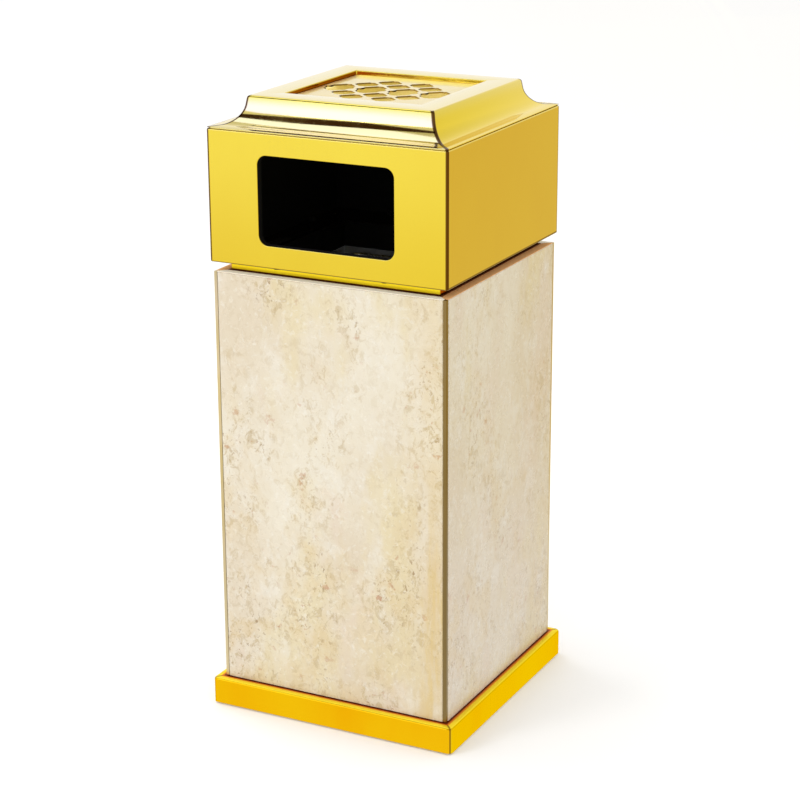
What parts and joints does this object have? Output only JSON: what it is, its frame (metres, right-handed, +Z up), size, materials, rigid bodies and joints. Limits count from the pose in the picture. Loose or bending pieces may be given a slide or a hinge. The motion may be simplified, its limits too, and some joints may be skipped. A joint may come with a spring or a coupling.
{
  "type": "ashtray bin",
  "caption": "Free-standing square lobby litter bin: stone-clad body on a gold plinth, lift-off gold head with a front throw opening, ash pan under a perforated plate, and a lift-out liner.",
  "frame": {"origin": "on the floor, under the middle of the bin", "axes": "+Z up, -Y towards the front wall with the throw opening, +X to the right as seen from the front"},
  "size_m": [0.28, 0.28, 0.648],
  "materials": {
    "gold_sheet": "polished",
    "plinth_sheet": "polished",
    "gold_trim": "satin",
    "gold_plate": "polished",
    "marble": "satin",
    "fibreboard": "matte",
    "black_rubber": "matte",
    "zinc_steel": "satin",
    "galvanised_sheet": "satin",
    "adhesive": "matte",
    "rivet_steel": "satin",
    "pan_sheet": "satin",
    "liner_sheet": "satin",
    "bail_wire": "satin"
  },
  "bodies": {
    "bin_body": {"plinth_tray": "plinth_sheet", "plinth_board": "fibreboard", "rubber_feet": "black_rubber", "foot_screws": "zinc_steel", "body_bolts": "zinc_steel", "body_washers": "zinc_steel", "body_nuts": "zinc_steel", "base_gasket": "black_rubber", "inner_casing": "galvanised_sheet", "panel_adhesive": "adhesive", "stone_panel_front": "marble", "stone_panel_right": "marble", "stone_panel_back": "marble", "stone_panel_left": "marble", "corner_trim_front_right": "gold_trim", "corner_trim_back_right": "gold_trim", "corner_trim_back_left": "gold_trim", "corner_trim_front_left": "gold_trim"},
    "head": {"head_walls": "gold_sheet", "seam_strap": "galvanised_sheet", "seam_rivets": "rivet_steel", "neck_ring": "gold_sheet", "neck_screws": "zinc_steel", "neck_nuts": "zinc_steel", "plug_skirt": "galvanised_sheet", "crown": "gold_sheet", "crown_studs": "zinc_steel", "crown_nuts": "zinc_steel"},
    "ash_pan": {"ash_pan": "pan_sheet"},
    "grille": {"grille_plate": "gold_plate"},
    "liner": {"liner_bucket": "liner_sheet", "liner_ear_left": "liner_sheet", "liner_ear_right": "liner_sheet", "ear_rivets": "rivet_steel"},
    "bail": {"liner_bail": "bail_wire"}
  },
  "joints": [
    {"name": "head_lift", "type": "slide", "parent": "bin_body", "child": "head", "axis": [0, 0, 1], "range_m": [0, 0.8]},
    {"name": "liner_lift", "type": "slide", "parent": "bin_body", "child": "liner", "axis": [0, 0, 1], "range_m": [0, 0.45]},
    {"name": "bail_swing", "type": "hinge", "parent": "liner", "child": "bail", "pos_m": [0, 0, 0.4408], "axis": [1, 0, 0], "range_deg": [0, 180]},
    {"name": "ash_pan_lift", "type": "slide", "parent": "head", "child": "ash_pan", "axis": [0, 0, 1], "range_m": [0, 0.1]},
    {"name": "grille_lift", "type": "slide", "parent": "ash_pan", "child": "grille", "axis": [0, 0, 1], "range_m": [0, 0.06]}
  ],
  "couplings": [
    {"joint": "liner_lift", "follows": "head_lift", "ratio": 0.55}
  ]
}
